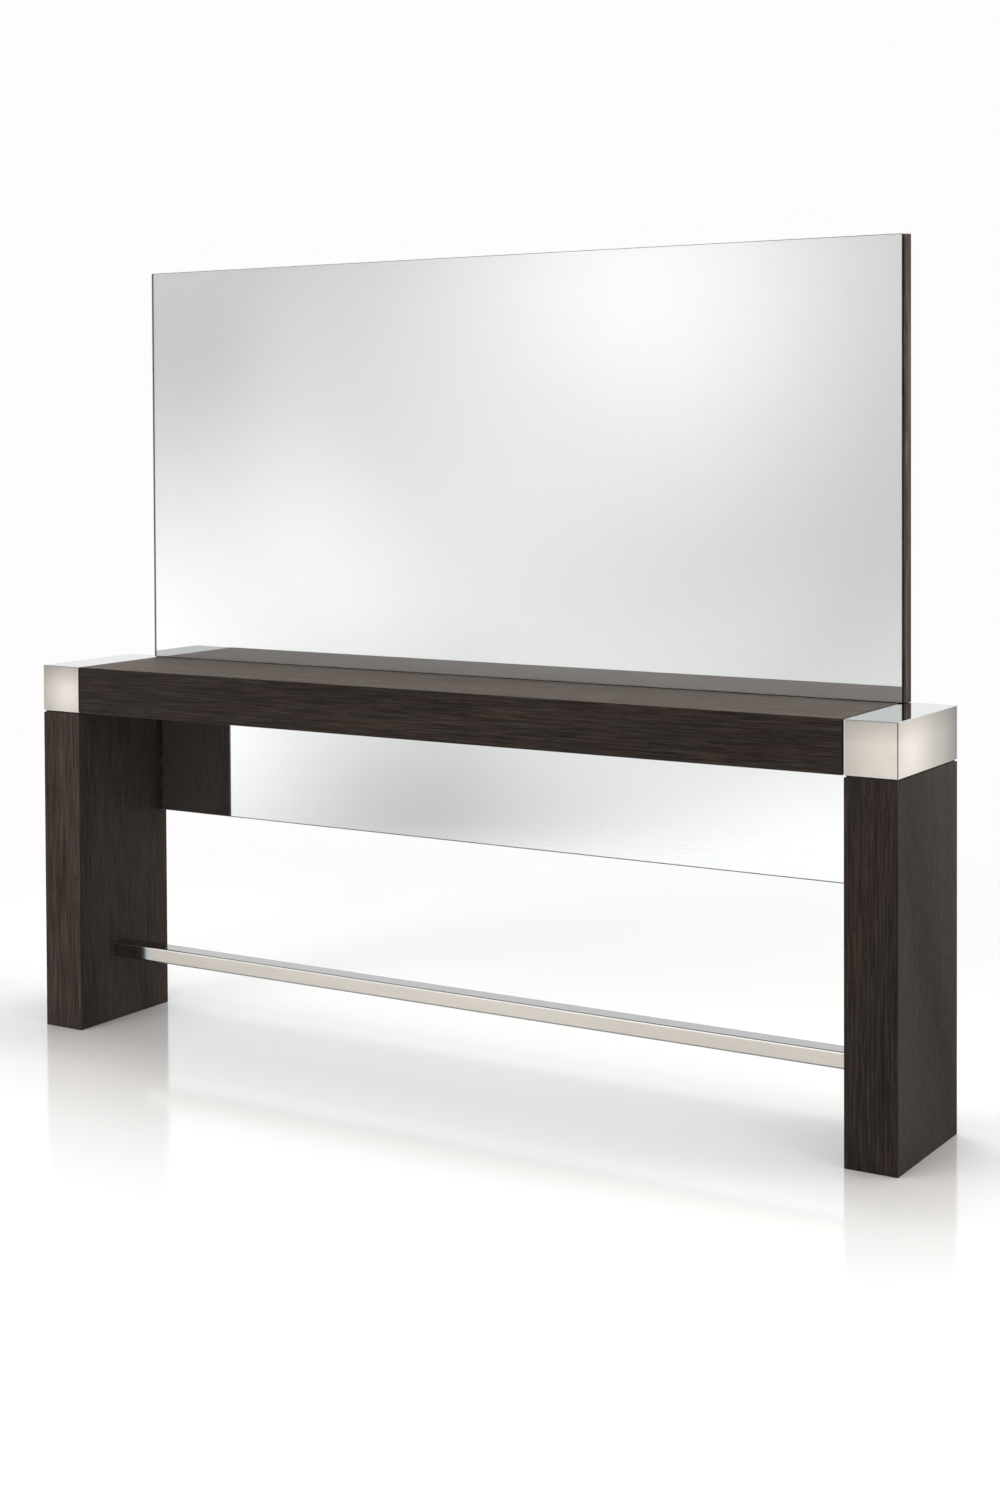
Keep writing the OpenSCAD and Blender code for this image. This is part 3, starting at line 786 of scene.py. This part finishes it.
def make_world():
    """A white backdrop, plain light for surfaces, and soft zones of a studio for what reflects."""
    world = bpy.data.worlds.new("studio")
    bpy.context.scene.world = world
    world.use_nodes = True
    world.node_tree.nodes.clear()
    graph = Graph(world.node_tree)
    view = graph.add("ShaderNodeTexCoord").outputs["Generated"]
    level = ROOM_LEVEL
    for azimuth, elevation, radius, amount in ROOM_ZONES:
        towards = graph.vector_math("DOT_PRODUCT", view, direction(azimuth, elevation))
        angle = graph.math("ARCCOSINE", graph.math("MINIMUM", towards, 1.0))
        zone = graph.spread(angle, 0.0, math.radians(radius), amount, 0.0, smooth=True)
        level = graph.math("ADD", zone, level)
    path = graph.add("ShaderNodeLightPath").outputs
    mirrored = graph.math("MAXIMUM", path["Is Glossy Ray"], path["Is Transmission Ray"])
    plain = background(graph, WHITE, DIFFUSE_LEVEL)
    room = background(graph, (1.0, 0.995, 0.99), graph.math("MULTIPLY", level, ROOM_GAIN))
    lit = graph.mix(mirrored, plain, room)
    seen = graph.mix(path["Is Camera Ray"], lit, background(graph, BACKDROP, 1.0))
    graph.add("ShaderNodeOutputWorld", {"Surface": seen})


FLOOR_RADIUS = 3.4
# How far below the legs' ends the floor lies, so that no faces coincide
FLOOR_DROP = 0.0004
FLOOR_TONE = 0.80
# How much white the camera sees added to the floor, in front and behind, and where it changes; the extra
# behind is painted light over the station's shadow there
FLOOR_LIFT = 0.16
BACK_LIFT = 0.15
BACK_FROM, BACK_TO = 0.05, 0.45
# The strength of the floor's reflection, and how far from the station it fades
FLOOR_GLOSS = 1.55
FLOOR_FADE = 0.90
# How far from the station's foot the floor is darker, with painted contact shade from the occlusion node
CONTACT_REACH = 0.30


def floor_material():
    """A pale polished floor: it reflects near the legs and fades into the backdrop further away."""
    material, graph, _ = new_material("studio_floor")
    material.node_tree.nodes.clear()
    camera_ray = graph.add("ShaderNodeLightPath").outputs["Is Camera Ray"]

    squares = []
    for axis, reach in (("X", cad_box[1].x), ("Y", cad_box[1].y)):
        distance = graph.math("SUBTRACT", graph.math("ABSOLUTE", graph.coordinate(axis)), reach)
        squares.append(graph.math("POWER", graph.math("MAXIMUM", distance, 0.0), 2.0))
    away = graph.math("SQRT", graph.math("ADD", *squares))
    gloss = graph.math("EXPONENT", graph.math("MULTIPLY", away, -1.0 / FLOOR_FADE))
    glancing = graph.add("ShaderNodeFresnel", {"IOR": 1.45}).outputs[0]
    gloss = graph.math("MULTIPLY", gloss, graph.math("MULTIPLY", glancing, FLOOR_GLOSS))
    gloss = graph.math("MULTIPLY", gloss, camera_ray)

    # Painted contact shade: occlusion darkens the floor's colour and its added white
    occlusion = graph.add("ShaderNodeAmbientOcclusion", {"Distance": CONTACT_REACH}, samples=12)
    open_share = graph.spread(occlusion.outputs["AO"], 0.2, 1.0, 0.55, 1.0)
    cloud = graph.noise(even(0.5))
    pale = graph.clouded(cloud, scaled(WHITE, FLOOR_TONE), scaled(WHITE, FLOOR_TONE * 1.01))
    warmth = graph.ramp(gloss, [(0.0, WHITE), (0.48, (1.0, 0.945, 0.89))])
    pale = graph.times(graph.vector_math("MULTIPLY", pale, warmth), open_share)
    surface = graph.add("ShaderNodeBsdfDiffuse", {"Color": pale}).outputs[0]

    # Painted light: the floor behind the station gets more white, over the station's shadow
    lift = graph.spread(graph.coordinate("Y"), BACK_FROM, BACK_TO, FLOOR_LIFT, FLOOR_LIFT + BACK_LIFT)
    strength = graph.math("MULTIPLY", graph.math("MULTIPLY", camera_ray, lift), open_share)
    glow = graph.add("ShaderNodeEmission", {"Color": (*WHITE, 1.0), "Strength": strength}).outputs[0]
    lifted = graph.fill(graph.add("ShaderNodeAddShader"), (surface, glow)).outputs[0]

    inputs = {"Color": (0.90, 0.955, 1.0, 1.0), "Roughness": 0.10}
    polish = graph.add("ShaderNodeBsdfGlossy", inputs).outputs[0]
    polished = graph.mix(gloss, lifted, polish)
    far = graph.vector_math("LENGTH", graph.point())
    edge = graph.spread(far, FLOOR_RADIUS * 0.42, FLOOR_RADIUS * 0.95, smooth=True)
    clear = graph.add("ShaderNodeBsdfTransparent").outputs[0]
    graph.add("ShaderNodeOutputMaterial", {"Surface": graph.mix(edge, polished, clear)})
    return material


def make_floor():
    solid = bmesh.new()
    bmesh.ops.create_circle(solid, cap_ends=True, segments=96, radius=FLOOR_RADIUS)
    mesh = bpy.data.meshes.new("studio_floor")
    solid.to_mesh(mesh)
    solid.free()
    mesh.materials.append(floor_material())
    floor = bpy.data.objects.new("studio_floor", mesh)
    floor.location.z = -FLOOR_DROP
    bpy.context.scene.collection.objects.link(floor)


# Each lamp's place, what it is aimed at, its size and its power in watts
LAMPS = {
    "front_lamp": ((0.3, -2.9, 4.3), (0.0, 0.0, 0.3), 1.0, 42.0),
    "left_lamp": ((-1.8, -3.4, 2.5), (-0.9, 0.0, 0.5), 1.4, 66.0),
    "top_lamp": ((0.0, 1.0, 5.0), (0.0, 0.0, 0.4), 1.0, 58.0),
    "side_lamp": ((3.6, -1.2, 0.7), (-0.6, 0.0, 0.4), 1.2, 38.0),
    "right_lamp": ((2.6, 0.6, 2.4), (1.2, 0.0, 0.0), 0.9, 16.0),
}


def make_lamps():
    """Soft square lamps that light surfaces but aren't seen in the mirrors."""
    for name, (place, aim, size, power) in LAMPS.items():
        light = bpy.data.lights.new(name, "AREA")
        light.shape = "SQUARE"
        light.size = size
        light.energy = power
        lamp = bpy.data.objects.new(name, light)
        lamp.location = place
        lamp.rotation_euler = (Vector(place) - Vector(aim)).to_track_quat("Z", "Y").to_euler()
        lamp.visible_glossy = False
        lamp.visible_transmission = False
        bpy.context.scene.collection.objects.link(lamp)


# Fitted to the straight edges of the photograph. The turns are in radians
CAMERA_PLACE = (2.7087, -4.1923, 1.4326)
CAMERA_YAW = 0.5553
CAMERA_PITCH = -0.0253
CAMERA_ROLL = -0.0046
CAMERA_LENS = 53.825
CAMERA_SHIFT = -0.17262


def make_camera():
    data = bpy.data.cameras.new("camera")
    data.lens = CAMERA_LENS
    data.sensor_width = 36.0
    data.shift_y = CAMERA_SHIFT
    camera = bpy.data.objects.new("camera", data)
    camera.matrix_world = (
        Matrix.Translation(CAMERA_PLACE)
        @ Matrix.Rotation(CAMERA_YAW, 4, "Z")
        @ Matrix.Rotation(math.pi / 2 + CAMERA_PITCH, 4, "X")
        @ Matrix.Rotation(CAMERA_ROLL, 4, "Z")
    )
    bpy.context.scene.collection.objects.link(camera)
    bpy.context.scene.camera = camera


make_boards()
make_back_panel()
make_caps()
make_mirrors()
make_footrest()
dress_nodes()
make_world()
make_floor()
make_lamps()
make_camera()
bpy.context.scene.view_settings.view_transform = "Standard"
